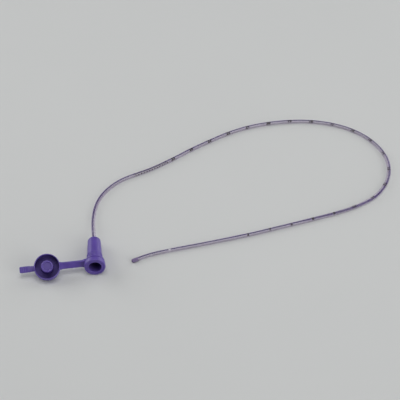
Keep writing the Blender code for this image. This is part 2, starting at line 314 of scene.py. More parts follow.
class Wire:
    """A shader socket whose values add, subtract, multiply and take powers as Python's do."""

    def __init__(self, tree: "ShaderTree", socket: bpy.types.NodeSocket) -> None:
        """Wrap an output socket of a tree."""
        self.tree = tree
        self.socket = socket

    def math(self, operation: str, *values: "Wire | float") -> "Wire":
        """Send values through one Math node.

        Args:
            operation: The node's operation.
            values: Its inputs, in order.

        Returns:
            Its result.
        """
        return self.tree.node("ShaderNodeMath", {"operation": operation}, dict(enumerate(values)))

    def __add__(self, other: "Wire | float") -> "Wire":
        """Add."""
        return self.math("ADD", self, other)

    def __radd__(self, other: float) -> "Wire":
        """Add to a number."""
        return self.math("ADD", other, self)

    def __sub__(self, other: "Wire | float") -> "Wire":
        """Subtract."""
        return self.math("SUBTRACT", self, other)

    def __rsub__(self, other: float) -> "Wire":
        """Subtract from a number."""
        return self.math("SUBTRACT", other, self)

    def __mul__(self, other: "Wire | float") -> "Wire":
        """Multiply."""
        return self.math("MULTIPLY", self, other)

    def __rmul__(self, other: float) -> "Wire":
        """Multiply a number."""
        return self.math("MULTIPLY", other, self)

    def __pow__(self, other: "Wire | float") -> "Wire":
        """Raise to a power."""
        return self.math("POWER", self, other)

    def __rpow__(self, other: float) -> "Wire":
        """Raise a number to this power."""
        return self.math("POWER", other, self)


class ShaderTree:
    """The node tree of one new material or world."""

    def __init__(self, owner: Material | bpy.types.World) -> None:
        """Start a material's or a world's tree, empty."""
        owner.use_nodes = True
        self.owner = owner
        self.nodes = owner.node_tree.nodes
        self.nodes.clear()

    def node(self, kind: str, settings: dict | None = None, inputs: dict | None = None,
             output: str | int | None = 0) -> Wire | None:
        """Add one node.

        Args:
            kind: The node's type.
            settings: Its properties, which are set first.
            inputs: Values or wires for its sockets, by name or number.
            output: The output that is wanted, or None where there is none.

        Returns:
            That output.
        """
        made = self.nodes.new(kind)
        for key, value in (settings or {}).items():
            setattr(made, key, value)
        for key, value in (inputs or {}).items():
            if isinstance(value, Wire):
                self.owner.node_tree.links.new(value.socket, made.inputs[key])
            else:
                made.inputs[key].default_value = value
        return None if output is None else Wire(self, made.outputs[output])

    def place(self) -> Wire:
        """Give the Object coordinates."""
        return self.node("ShaderNodeTexCoord", output="Object")

    def noise(self, size: float, detail: float = 2.0) -> Wire:
        """Give noise from 0 to 1 whose features are about a size in metres."""
        sockets = {"Vector": self.place(), "Scale": 1.0 / size, "Detail": detail, "Roughness": 0.55}
        return self.node("ShaderNodeTexNoise", {"noise_dimensions": "3D"}, sockets)

    def blend(self, share: Wire, first: tuple | Wire, second: tuple | Wire) -> Wire:
        """Mix two colours by a share, which counts as 0 below 0 and as 1 above 1."""
        colours = [value if isinstance(value, Wire) else (*value, 1.0) for value in (first, second)]
        sockets = {0: share, 6: colours[0], 7: colours[1]}
        return self.node("ShaderNodeMix", {"data_type": "RGBA"}, sockets, 2)

    def bump(self, height: Wire, depth: float, strength: float = 1.0) -> Wire:
        """Turn a height from 0 to 1 into a normal, for a relief of a depth in metres."""
        sockets = {"Height": height, "Distance": depth, "Strength": strength}
        return self.node("ShaderNodeBump", {}, sockets)

    def close(self, shader: Wire, output: str = "ShaderNodeOutputMaterial") -> Material | bpy.types.World:
        """Send a shader to the surface output and give the material or world."""
        self.node(output, {}, {"Surface": shader}, None)
        return self.owner


@dataclass(frozen=True)
class Finish:
    """A finish whose colour wavers between two; each kind gives its own values for the shader."""

    name: str
    light: Colour
    deep: Colour

    def sockets(self, tree: ShaderTree) -> dict:
        """Give the main shader's values and wires by socket."""
        raise NotImplementedError

    def shader(self, tree: ShaderTree) -> Wire:
        """Add the finish's shader to a tree."""
        return tree.node("ShaderNodeBsdfPrincipled", {}, self.sockets(tree))

    def make(self) -> Material:
        """Build the material."""
        tree = ShaderTree(bpy.data.materials.new(self.name))
        return tree.close(self.shader(tree))


@dataclass(frozen=True)
class MouldedPlastic(Finish):
    """Satin moulded plastic: a fine spark-eroded grain, faint clouding and slightly polished patches.

    Shade is painted into its colour, and it is duller, where the mesh's shade attribute rises:
    in the bore, in the cup's groove and on the stud's dished face.
    """

    # Colour of the painted shade, mixed in by the mesh's shade attribute.
    recessed: Colour
    roughness: float = 0.36
    roughness_swing: float = 0.14
    cloud_size: float = 2.6 * MM
    grain_size: float = 0.09 * MM
    grain_depth: float = 0.006 * MM

    def sockets(self, tree: ShaderTree) -> dict:
        """Give the grain, the clouds and the painted shade of the bore, the groove and the stud's face.

        Args:
            tree: The tree that takes the nodes.

        Returns:
            Values and wires by socket.
        """
        clouds, grain = tree.noise(self.cloud_size, 3.0), tree.noise(self.grain_size, 3.0)
        skin = tree.blend((clouds - 0.3) * 1.8 + (grain - 0.5) * 0.3, self.deep, self.light)
        # Painted shade: the mesh's shade attribute darkens the colour towards the shade colour and dulls
        # it.
        painted_shade = tree.node("ShaderNodeAttribute", {"attribute_name": "painted_shade"}, {}, "Fac")
        polish = self.roughness + (clouds - 0.5) * self.roughness_swing + (grain - 0.5) * 0.1
        return {
            "Base Color": tree.blend(painted_shade, skin, self.recessed),
            "Roughness": polish + painted_shade * 0.7,
            "Normal": tree.bump(grain, self.grain_depth, 0.6),
            "IOR": 1.5,
        }


@dataclass(frozen=True)
class ClearTubing(Finish):
    """Soft clear tubing or its clear coloured stripe, with faint long clouds.

    It covers what lies behind it more where it is seen aslant.
    """

    cover: float
    edge_cover: float
    roughness: float = 0.2

    def sockets(self, tree: ShaderTree) -> dict:
        """Give the clouds, the cover and a very fine unevenness.

        Args:
            tree: The tree that takes the nodes.

        Returns:
            Values and wires by socket.
        """
        clouds, fine = tree.noise(6.0 * MM), tree.noise(0.3 * MM)
        aslant = tree.node("ShaderNodeLayerWeight", {}, {"Blend": 0.5}, "Facing")
        return {
            "Base Color": tree.blend((clouds - 0.25) * 2.0, self.deep, self.light),
            "Roughness": self.roughness + (fine - 0.5) * 0.12,
            "Normal": tree.bump(fine, 0.004 * MM, 0.4),
            "Alpha": self.cover + aslant ** 2.5 * self.edge_cover,
        }


@dataclass(frozen=True)
class Ink(Finish):
    """Opaque colour in or on the tubing, a little uneven."""

    roughness: float = 0.45
    patch_size: float = 0.8 * MM

    def sockets(self, tree: ShaderTree) -> dict:
        """Give the uneven colour and polish.

        Args:
            tree: The tree that takes the nodes.

        Returns:
            Values and wires by socket.
        """
        patches = tree.noise(self.patch_size, 3.0)
        return {
            "Base Color": tree.blend((patches - 0.3) * 2.2, self.deep, self.light),
            "Roughness": self.roughness + (patches - 0.5) * 0.2,
        }


@dataclass(frozen=True)
class PaperFloor(Finish):
    """Pale grey matt paper with a hardly visible tooth, which the camera sees fade into the backdrop."""

    fades: tuple[float, float] = (0.30, 0.60)

    def sockets(self, tree: ShaderTree) -> dict:
        """Give the patches and the tooth.

        Args:
            tree: The tree that takes the nodes.

        Returns:
            Values and wires by socket.
        """
        patches, tooth = tree.noise(60.0 * MM), tree.noise(0.5 * MM)
        return {
            "Base Color": tree.blend(patches, self.deep, self.light),
            "Roughness": 0.85 + (tooth - 0.5) * 0.1,
            "Normal": tree.bump(tooth, 0.01 * MM, 0.3),
            "Specular IOR Level": 0.2,
        }

    def shader(self, tree: ShaderTree) -> Wire:
        """Fade from the paper to the backdrop between two distances from the middle.

        Args:
            tree: The tree that takes the nodes.

        Returns:
            The mixed shader.
        """
        away = tree.node("ShaderNodeVectorMath", {"operation": "LENGTH"}, {0: tree.place()}, "Value")
        gone = tree.node("ShaderNodeMapRange", {}, {0: away, 1: self.fades[0], 2: self.fades[1]})
        seen = tree.node("ShaderNodeLightPath", output="Is Camera Ray")
        glow = tree.node("ShaderNodeEmission", {}, {"Color": (*BACKDROP, 1.0)})
        return tree.node("ShaderNodeMixShader", {}, {0: gone * seen, 1: super().shader(tree), 2: glow})


@dataclass
class FunnelHub:
    """The turned hub: rimmed mouth, lip, collar, three grip rings, rounded tail, bore and socket."""

    plastic: Material
    mouth: Array = field(default_factory=lambda: np.array((13.72, -7.0, 4.6639)) * MM)
    axis: Array = field(default_factory=lambda: np.array((-0.022525, -0.9926, 0.119326)))
    length: float = 17.05 * MM
    collar_radius: float = 4.45 * MM
    lip_length: float = 2.2 * MM
    shoulder_radius: float = 4.2 * MM
    groove_radius: float = 3.85 * MM
    collar_length: float = 3.7 * MM
    body_radius: float = 3.3 * MM
    tail_radius: float = 2.75 * MM
    tail_rounding: float = 1.3 * MM
    ring_first: float = 4.9 * MM
    ring_pitch: float = 0.9 * MM
    ring_width: float = 0.15 * MM
    ring_height: float = 0.18 * MM
    bore_radius: float = 2.72 * MM
    rim_radius: float = 3.3 * MM
    bore_depth: float = 5.5 * MM
    funnel_depth: float = 9.5 * MM
    passage_radius: float = 0.5 * MM
    socket_radius: float = 1.035 * MM
    socket_depth: float = 5.5 * MM
    seam_height: float = 0.018 * MM
    seam_half_turn: float = 0.012

    def profile(self) -> Array:
        """Draw the hub's section.

        Returns:
            The closed profile (r, z), from the mouth over the outside to the bore.
        """
        lip, collar, tail = -self.lip_length, -self.collar_length, -self.length
        rim, socket = self.rim_radius, self.socket_depth - self.length
        corners = [
            (self.collar_radius, 0.0, 0.36 * MM),
            (self.collar_radius, lip, 0.16 * MM),
            (self.groove_radius, lip - 0.1 * MM, 0.06 * MM),
            (self.groove_radius, lip - 0.46 * MM, 0.06 * MM),
            (self.shoulder_radius, lip - 0.56 * MM, 0.1 * MM),
            (self.shoulder_radius, collar, 0.3 * MM),
            (self.body_radius, collar - 0.08 * MM, 0.2 * MM),
            (self.tail_radius, tail, self.tail_rounding),
            (self.socket_radius, tail, 0.12 * MM),
            (self.socket_radius, socket, 0.0),
            (self.passage_radius, socket, 0.0),
            (self.passage_radius, -self.funnel_depth, 0.3 * MM),
            (self.bore_radius - 0.12 * MM, -self.bore_depth, 0.3 * MM),
            (self.bore_radius, 0.0, 0.25 * MM),
            (rim, 0.0, 0.08 * MM),
            (rim + 0.08 * MM, -0.16 * MM, 0.05 * MM),
            (rim + 0.28 * MM, -0.16 * MM, 0.05 * MM),
            (rim + 0.36 * MM, 0.0, 0.08 * MM),
        ]
        return rounded_profile(corners, True, 8)

    def build(self) -> Piece:
        """Turn the profile about the hub's axis and raise the grip rings and mould seams.

        The point at (r, z) and turn a lies at (R cos a, R sin a, z). On the taper R is r plus the
        grip rings, bells of their height along z. On the whole outside it gets two more bells,
        across the turn, at the seams of the mould's halves. Painted shade ramps up into the bore.

        Returns:
            The piece.
        """
        profile = self.profile()
        start, stop = -self.collar_length - 0.6 * MM, self.tail_rounding + 0.4 * MM - self.length
        first = int(np.argmax(profile[:, 1] < start))
        fine = np.linspace(start, stop, 180)
        slope = (self.tail_radius - self.body_radius) / (self.length - self.collar_length)
        wall = np.stack((self.body_radius - slope * (fine + self.collar_length), fine), axis=1)
        profile = np.concatenate((profile[:first], wall, profile[first:]))
        radius, depth = profile.T
        rings = sum(bell(-depth, self.ring_first + k * self.ring_pitch, self.ring_width) for k in range(3))
        radius = radius + np.where(radius > self.tail_radius, rings * self.ring_height, 0.0)
        near = np.linspace(-0.04, 0.04, 9)
        turn = np.unique(np.concatenate((turns(160), near % FULL_TURN, math.pi + near)))
        seam = sum(bell(turn, middle * math.pi, self.seam_half_turn) for middle in (0, 1, 2))
        skin = smooth_ramp(radius, self.tail_radius - 0.6 * MM, self.tail_radius) * (depth < -0.4 * MM)
        skin = skin * smooth_ramp(depth, -self.length, self.tail_rounding - self.length)
        full = radius[:, None] + skin[:, None] * seam * self.seam_height
        place = Axes.along(self.mouth, self.axis, ALONG_X)
        # Painted shade: the bore's colour darkens with depth from the mouth.
        in_bore = (radius < self.bore_radius + 0.01 * MM) & (depth > 2.0 * MM - self.length)
        painted_shade = in_bore * smooth_ramp(-depth, 0.2 * MM, 0.9 * MM)
        shell = Shell()
        grid = place.place(full * np.cos(turn), full * np.sin(turn), depth[:, None])
        shell.add(grid, ring=True, painted_shade=painted_shade)
        return finish_piece(shell.make("funnel_hub", [self.plastic]), Body.HUB, ("hub",))

    def exit(self) -> Array:
        """Give the point where the tube leaves the tail."""
        return self.mouth - unit(self.axis) * self.length


@dataclass
class PlugCap:
    """The cup-shaped cap with its stud, leaning back on its lower edge, and its pull tab."""

    plastic: Material
    middle: Array = field(default_factory=lambda: np.array((-6.39025, -4.57617, 4.17583)) * MM)
    lean: float = math.radians(60)
    turn: float = math.radians(2)
    radius: float = 5.5 * MM
    height: float = 3.8 * MM
    floor: float = 0.65 * MM
    skirt_wall: float = 0.38 * MM
    stud_radius: float = 2.52 * MM
    stud_proud: float = 0.8 * MM
    recess_radius: float = 1.9 * MM
    recess_depth: float = 0.3 * MM
    tab_length: float = 6.15 * MM
    neck_length: float = 1.4 * MM
    neck_width: float = 2.4 * MM
    tab_width: float = 2.7 * MM
    tab_thickness: float = 1.1 * MM
    tab_corner: float = 0.5 * MM

    def __post_init__(self) -> None:
        """Work out the cap's axis and its side direction, towards the strap."""
        self.axis = np.array((0.0, -math.cos(self.lean), math.sin(self.lean)))
        rise = np.array((0.0, math.sin(self.lean), math.cos(self.lean)))
        self.side = ALONG_X * math.cos(self.turn) + rise * math.sin(self.turn)

    def profile(self) -> Array:
        """Draw the cup's section.

        Returns:
            The profile (r, z) from the stud's middle over the rim to the back's dish.
        """
        top = self.height + self.stud_proud
        inner = self.radius - self.skirt_wall
        corners = [
            (0.0, top - self.recess_depth, 0.0),
            (self.recess_radius - 0.15 * MM, top - self.recess_depth, 0.12 * MM),
            (self.recess_radius, top, 0.1 * MM),
            (self.stud_radius, top, 0.28 * MM),
            (self.stud_radius + 0.06 * MM, self.floor, 0.25 * MM),
            (inner, self.floor, 0.3 * MM),
            (inner, self.height, 0.12 * MM),
            (self.radius, self.height, 0.12 * MM),
            (self.radius, 0.0, 0.6 * MM),
            (0.55 * self.radius, 0.0, 0.0),
        ]
        return rounded_profile(corners, False, 8)

    def build_cup(self) -> Piece:
        """Turn the cap's profile about its axis.

        The point at (r, z) and turn a lies at (r cos a, r sin a, z). The back is a little dished,
        by a cosine of r, and carries the small ring of the moulding gate, a bell of r. Painted shade
        rises towards the groove's floor and is slight on the stud's dished face.

        Returns:
            The piece.
        """
        radius, height = self.profile()[1:].T
        spread = np.linspace(0.98, 0.02, 40) * 0.55 * self.radius
        radius = np.concatenate((radius, spread))
        height = np.concatenate((height, np.zeros(40)))
        dish_radius = 0.75 * self.radius
        dish = 0.06 * MM * (1.0 + np.cos(np.clip(radius / dish_radius, 0.0, 1.0) * math.pi))
        gate = 0.1 * MM * bell(radius, 0.55 * MM, 0.12 * MM)
        in_dish = (height < 0.5 * MM) & (radius < dish_radius)
        height = np.where(in_dish, height + dish - gate, height)
        turn = turns(144)
        place = Axes.along(self.middle - self.axis * 0.5 * self.height, self.axis, self.side)
        wide = radius[:, None]
        grid = place.place(wide * np.cos(turn), wide * np.sin(turn), height[:, None])
        # Painted shade: darkest low in the groove round the stud, and slight on the stud's dished face.
        in_groove = (radius > self.stud_radius - 0.01 * MM) & (height > 0.3 * MM)
        in_groove &= radius < self.radius - 0.5 * self.skirt_wall
        low = 1.0 - smooth_ramp(height, self.floor + 0.6 * MM, self.height - 0.1 * MM)
        on_face = 1.0 - smooth_ramp(radius, 0.8 * self.recess_radius, self.recess_radius)
        shell = Shell()
        shell.add(grid, painted_shade=0.45 * in_groove * low + 0.15 * on_face * (height > self.height))
        cup = shell.make("plug_cap_cup", [self.plastic])
        return finish_piece(cup, Body.CAP, ("plug_cap",))

    def build_tab(self) -> Piece:
        """Carry a rounded rectangle outwards as the pull tab.

        At a distance d from the cap's axis the section is the superellipse
        |x / half width|^5 + |z / half thickness|^5 = 1. The width ramps from neck to pad, and at
        the end both shrink along a quarter circle.

        Returns:
            The piece.
        """
        end = self.radius + self.tab_length
        start = self.radius - 0.6 * self.skirt_wall
        pad = self.radius + self.neck_length
        body = np.linspace(start, end - self.tab_corner, 60)
        closing = end - self.tab_corner * (1.0 - np.sin(np.linspace(0.0, 0.5 * math.pi, 16)[1:]))
        distance = np.concatenate((body, closing))
        widening = smooth_ramp(distance, pad, pad + 0.6 * MM)
        half_width = 0.5 * (self.neck_width + (self.tab_width - self.neck_width) * widening)
        left = np.clip((distance - (end - self.tab_corner)) / self.tab_corner, 0.0, 1.0)
        half_width = half_width - self.tab_corner * (1.0 - np.sqrt(1.0 - left ** 2))
        edge = np.clip((distance - (end - 0.3 * MM)) / (0.3 * MM), 0.0, 1.0)
        half_thick = 0.5 * self.tab_thickness - 0.3 * MM * (1.0 - np.sqrt(1.0 - edge ** 2))
        grip = sum(bell(distance, pad + (1.5 + 0.9 * k) * MM, 0.16 * MM) for k in range(4))
        half_thick = half_thick + (grip - 1.0) * 0.13 * MM
        cosine, sine = np.cos(turns(64)), np.sin(turns(64))
        size = (np.abs(cosine) ** 5 + np.abs(sine) ** 5) ** -0.2
        place = Axes.along(self.middle, self.axis, -self.side)
        grid = place.place(distance[:, None], half_width[:, None] * cosine * size,
                           half_thick[:, None] * sine * size)
        shell = Shell()
        shell.add(grid)
        return finish_piece(shell.make("pull_tab", [self.plastic]), Body.CAP)


@dataclass
class TetherStrap:
    """The flat strap from the collar to the cap, in three lengths that meet end to end."""

    plastic: Material
    root: Array = field(default_factory=lambda: np.array((9.5864, -4.02617, 4.31785)) * MM)
    end: Array = field(default_factory=lambda: np.array((-0.8936, -4.40994, 4.27181)) * MM)
    width: float = 2.9 * MM
    thickness: float = 1.3 * MM
    corner: float = 0.35 * MM
    flare: float = 0.3
    flare_reach: float = 0.8 * MM
    first_bend: float = 3.49 * MM
    last_bend_from_cap: float = 1.97 * MM
    tilts: tuple[float, float, float] = (math.radians(12), math.radians(33.3), math.radians(46))

    def __post_init__(self) -> None:
        """Work out the strap's line and length."""
        self.length = float(np.linalg.norm(self.end - self.root))
        self.line = unit(self.end - self.root)

    def ring(self) -> Array:
        """Give the section's points (across, through): a rectangle with rounded corners."""
        half_w, half_t = 0.5 * self.width, 0.5 * self.thickness
        corners = [(half_w, -half_t), (half_w, half_t), (-half_w, half_t), (-half_w, -half_t)]
        return rounded_profile([(*corner, self.corner) for corner in corners], True, 6)

    def surface(self, start: float, stop: float) -> Array:
        """Carry the section along the strap's line.

        At a distance s the point is root + s L + k (a W + b D). W, the width's direction, leans
        by a tilt that is linear between its three values, and D is L x W. The swelling k is 1
        plus a bell at each end.

        Args:
            start: Distance from the root where the length starts.
            stop: Distance where it ends.

        Returns:
            The grid of points.
        """
        distance = np.linspace(start, stop, max(8, round((stop - start) / (0.12 * MM))))
        stations = (0.0, self.first_bend, self.length - self.last_bend_from_cap, self.length)
        lean = np.interp(distance, stations, (self.tilts[0], self.tilts[1], self.tilts[1], self.tilts[2]))
        across = np.stack((np.zeros_like(lean), np.sin(lean), np.cos(lean)), axis=1)
        across = unit(across - (across @ self.line)[:, None] * self.line)
        through = np.cross(self.line, across)
        swell = 1.0 + self.flare * bell(np.maximum(distance, 0.0), 0.0, self.flare_reach)
        swell = swell + 0.14 * bell(np.minimum(distance, self.length), self.length, 0.7 * MM)
        section = self.ring()
        flat = section[:, 0, None] * across[:, None, :] + section[:, 1, None] * through[:, None, :]
        return self.root + self.line * distance[:, None, None] + flat * swell[:, None, None]

    def build(self) -> list[Piece]:
        """Build the three lengths, one after another from the collar to the cap.

        Returns:
            The pieces, from the collar to the cap.
        """
        cuts = (-0.6 * MM, 6.0 * MM, 8.95 * MM, self.length + 0.3 * MM)
        spans = (
            ("strap_root", Body.HUB, Body.STRAP, 0.9 * MM, 5.9 * MM, ("tether_strap",)),
            ("strap_middle", Body.STRAP, Body.STRAP_TIP, 6.1 * MM, 8.85 * MM, ("tether_tip",)),
            ("strap_end", Body.STRAP_TIP, Body.CAP, 9.05 * MM, 10.3 * MM, ()),
        )
        pieces = []
        for index, (name, first, second, start, stop, nodes) in enumerate(spans):
            shell = Shell()
            shell.add(self.surface(cuts[index], cuts[index + 1]))
            piece = finish_piece(shell.make(name, [self.plastic]), None, nodes)
            ends = [(self.root + self.line * distance).tolist() for distance in (start, stop)]
            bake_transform(piece)
            pieces.append(piece)
        return pieces


ROUTE = np.array([
    (14.1, 17.6, 1.8), (14.5, 23.8, 1.2), (15.6, 29.6, 0.9), (17.4, 34.4, 0.84), (20.3, 38.8, 0.84),
    (23.9, 42.4, 0.84), (28.3, 45.4, 0.84), (33.0, 47.5, 0.84), (42.2, 51.0, 0.84), (52.7, 56.4, 0.84),
    (61.0, 61.2, 0.84), (69.7, 65.6, 0.84), (78.8, 69.8, 0.84), (88.1, 72.8, 0.84), (97.6, 74.4, 0.84),
    (107.5, 74.8, 0.84), (117.5, 73.8, 0.84), (127.3, 71.0, 0.84), (136.0, 66.3, 0.84), (142.9, 59.6, 0.84),
    (147.4, 51.4, 0.84), (148.7, 42.4, 0.84), (146.0, 32.9, 0.84), (139.6, 24.9, 0.84), (130.4, 19.8, 0.84),
    (120.6, 16.6, 0.84), (110.7, 14.2, 0.84), (100.9, 12.0, 0.84), (91.0, 9.9, 0.84), (81.2, 7.9, 0.84),
    (63.8, 5.0, 0.84), (46.3, 2.4, 0.84), (37.5, 0.7, 0.84), (29.4, -2.0, 0.84),
]) * MM


@dataclass
class TubeLine:
    """The tube's mid-line with its upright directions, read at any distance along it."""

    knots: Array
    floor: float
    spacing: float = 0.7 * MM

    def __post_init__(self) -> None:
        """Work out evenly spaced points of the Catmull-Rom curve through the knots.

        Between knots P1 and P2 the curve is half of 2 P1 + (P2 - P0) t
        + (2 P0 - 5 P1 + 4 P2 - P3) t^2 + (3 P1 - P0 - 3 P2 + P3) t^3.
        """
        ends = (2 * self.knots[:1] - self.knots[1:2], 2 * self.knots[-1:] - self.knots[-2:-1])
        knots = np.concatenate((ends[0], self.knots, ends[1]))
        before, start, end, after = (knots[k:len(knots) - 3 + k, None] for k in range(4))
        t = np.linspace(0.0, 1.0, 24, endpoint=False)[None, :, None]
        bend = 2 * before - 5 * start + 4 * end - after
        curl = 3 * start - before - 3 * end + after
        fine = (0.5 * (2 * start + (end - before) * t + bend * t ** 2 + curl * t ** 3)).reshape(-1, 3)
        fine = np.concatenate((fine, self.knots[-1:]))
        fine[:, 2] = np.maximum(fine[:, 2], self.floor)
        walked = np.concatenate(([0.0], np.cumsum(np.linalg.norm(np.diff(fine, axis=0), axis=1))))
        self.length = float(walked[-1])
        self.stations = np.linspace(0.0, self.length, round(self.length / self.spacing) + 1)
        self.centres = read_table(self.stations, walked, fine)

    def at(self, distance: Array) -> tuple[Array, Array, Array, Array]:
        """Give the point, tangent, top and side at distances.

        The top is Z with its part along the tangent taken off, and the side is tangent x top.

        Args:
            distance: Distances along the line.

        Returns:
            Four arrays of vectors.
        """
        slopes = unit(np.gradient(self.centres, self.stations, axis=0))
        point = read_table(distance, self.stations, self.centres)
        tangent = unit(read_table(distance, self.stations, slopes))
        top = unit(UP - tangent * (tangent @ UP)[..., None])
        return point, tangent, top, np.cross(tangent, top)

    def wrap(self, distance: Array, angle: Array, radius: Array) -> Array:
        """Give point + radius (cos(angle) top + sin(angle) side) for shapes that fit together."""
        point, _, top, side = self.at(distance)
        out = np.cos(angle)[..., None] * top + np.sin(angle)[..., None] * side
        return point + radius[..., None] * out


@dataclass(frozen=True)
class TickRow:
    """A plain row of printed ticks: its count, pitch, half sizes along and round, and turn aside."""

    count: int
    pitch: float
    half_along: float
    half_round: float
    aside: float


@dataclass
class MarkedTube:
    """The clear tube with its lumen, side eyes, closed tip, purple stripe and printed scale."""

    line: TubeLine
    clear: Material
    inside: Material
    violet: Material
    end: Material
    ink: Material
    radius: float = 0.835 * MM
    lumen: float = 0.5 * MM
    tip_length: float = 2.9 * MM
    stripe_half: float = math.radians(32)
    stripe_turns: tuple[tuple[float, float], ...] = (
        (6, -34), (30, -14), (150, -14), (190, -30), (210, -46), (222, -36), (252, 10),
    )
    eyes: tuple[tuple[float, float], ...] = ((17.3 * MM, math.radians(4)), (9.1 * MM, math.radians(-62)))
    eye_length: float = 1.25 * MM
    eye_width: float = 0.8 * MM
    first_mark: float = 52.2 * MM
    mark_pitch: float = 10.0 * MM
    mark_numbers: tuple[int, int] = (5, 25)
    numeral_size: float = 2.0 * MM
    ink_depth: float = 0.006 * MM
    ticks_from_tip: float = 272.0 * MM
    tick_rows: tuple[TickRow, ...] = (
        TickRow(18, 0.95 * MM, 0.20 * MM, 0.24 * MM, math.radians(-6)),
        TickRow(13, 1.32 * MM, 0.27 * MM, 0.24 * MM, math.radians(38)),
    )

    def stripe_angle(self, distance: Array) -> Array:
        """Give the stripe's angle from the top, linear between the turns listed in mm and degrees."""
        places, angles = np.array(self.stripe_turns).T
        return np.radians(np.interp(distance, places * MM, angles))

    def print_angle(self, distance: Array) -> Array:
        """Give the print's angle from the top: 19 degrees aside, and almost none on the second run."""
        return np.radians(19 - 18 * smooth_ramp(distance, 155.0 * MM, 205.0 * MM))

    def clear_run(self) -> Array:
        """Give the distances of the rows from the hub's socket to the start of the tip."""
        start = self.line.length - self.tip_length
        return np.append(self.line.stations[self.line.stations < start - 0.1 * MM], start)

    def build_wall(self) -> Piece:
        """Build the tube's wall, a ring of rows out along its outside and back along its lumen.

        Returns:
            The piece.
        """
        out = self.clear_run()
        distance = np.concatenate((out, out[::-1]))
        radius = np.repeat((self.radius, self.lumen), len(out))
        grid = self.line.wrap(distance[:, None], turns(32), radius[:, None])
        shell = Shell()
        shell.add(grid, ring=True, slots=np.repeat((0, 1), len(out)))
        return shell.make("tube_wall", [self.clear, self.inside])

    def build_stripe(self) -> Piece:
        """Build the stripe, a thin crescent let into the wall along its whole length.

        Returns:
            The piece.
        """
        out = self.clear_run()
        across = np.linspace(-self.stripe_half, self.stripe_half, 7)
        offset = np.concatenate((across, across[::-1]))
        radius = np.repeat((self.radius + 0.004 * MM, self.radius - 0.05 * MM), len(across))
        shell = Shell()
        shell.add(self.line.wrap(out[:, None], self.stripe_angle(out)[:, None] + offset, radius))
        return shell.make("tube_stripe", [self.violet])

    def build_tip(self) -> Piece:
        """Build the closed tip: a rod whose radius falls along a quarter circle to its end.

        Returns:
            The piece.
        """
        start, stop = self.line.length - self.tip_length, self.line.length
        bow = np.linspace(0.0, 0.5 * math.pi, 14)[1:-1]
        rod = np.linspace(start, stop - self.radius, 6)
        distance = np.concatenate((rod, stop - self.radius * (1.0 - np.sin(bow)), [stop - 1e-7]))
        radius = np.concatenate((np.full(6, self.radius), self.radius * np.cos(bow), [0.02 * MM]))
        shell = Shell()
        shell.add(self.line.wrap(distance[:, None], turns(32), radius[:, None]))
        return shell.make("tube_tip", [self.end])

    def cut_eyes(self, pieces: list[Piece]) -> None:
        """Cut the side eyes through pieces: oval holes from the lumen outwards.

        Args:
            pieces: Pieces that an eye goes through.
        """
        shell = Shell()
        for from_tip, angle in self.eyes:
            place = np.array([self.line.length - from_tip])
            point, tangent, top, side = (part[0] for part in self.line.at(place))
            out = math.cos(angle) * top + math.sin(angle) * side
            axes = Axes.along(point, out, tangent)
            height = np.array((0.12, 0.55, 0.8, 1.3))[:, None] * MM
            half = np.array((0.5, 0.5, 0.5, 0.625))[:, None]
            along, across = self.eye_length * np.cos(turns(40)), self.eye_width * np.sin(turns(40))
            shell.add(axes.place(half * along, half * across, height))
        cutter = shell.make("eye_cutter", [self.inside])
        for piece in pieces:
            cut = piece.modifiers.new("eyes", "BOOLEAN")
            cut.operation, cut.solver, cut.object = "DIFFERENCE", "EXACT", cutter
            mesh = evaluated_mesh(piece)
            piece.modifiers.clear()
            old, piece.data = piece.data, mesh
            mesh.name = piece.name
            bpy.data.meshes.remove(old)
            mesh.set_sharp_from_angle(angle=math.radians(45))
        bpy.data.objects.remove(cutter)

    def numeral(self, text: str, distance: float) -> tuple[Array, list[list[int]]]:
        """Wrap a number in plain figures round the tube, reading along it.

        The flat figures lie at (x, y) with a depth z. They go to the distance s + x along the
        tube, the angle a - y / radius and the radius plus z, after cuts at even heights y so
        that they follow the curve.

        Args:
            text: The number.
            distance: Where its middle goes.

        Returns:
            Its points and faces.
        """
        curve = bpy.data.curves.new("figures", "FONT")
        curve.body, curve.size, curve.offset, curve.extrude = text, 1.0, 0.062, 0.01
        curve.resolution_u = 3
        curve.align_x, curve.align_y = "CENTER", "CENTER"
        flat = put_in_scene("figures", curve)
        mesh = evaluated_mesh(flat)
        builder = bmesh.new()
        builder.from_mesh(mesh)
        bmesh.ops.remove_doubles(builder, verts=builder.verts, dist=0.0005)
        for level in np.linspace(-0.4, 0.4, 9):
            parts = builder.verts[:] + builder.edges[:] + builder.faces[:]
            bmesh.ops.bisect_plane(builder, geom=parts, plane_co=(0, level, 0), plane_no=(0, 1, 0))
        bmesh.ops.recalc_face_normals(builder, faces=builder.faces)
        builder.verts.ensure_lookup_table()
        places = np.array([vertex.co[:] for vertex in builder.verts])
        faces = [[vertex.index for vertex in face.verts] for face in builder.faces]
        builder.free()
        bpy.data.objects.remove(flat)
        bpy.data.curves.remove(curve)
        bpy.data.meshes.remove(mesh)
        along = distance + places[:, 0] * self.numeral_size
        angle = float(self.print_angle(np.array(distance))) - places[:, 1] * self.numeral_size / self.radius
        radius = self.radius + np.where(places[:, 2] > 0.0, self.ink_depth, -self.ink_depth)
        return self.line.wrap(along, angle, radius), faces

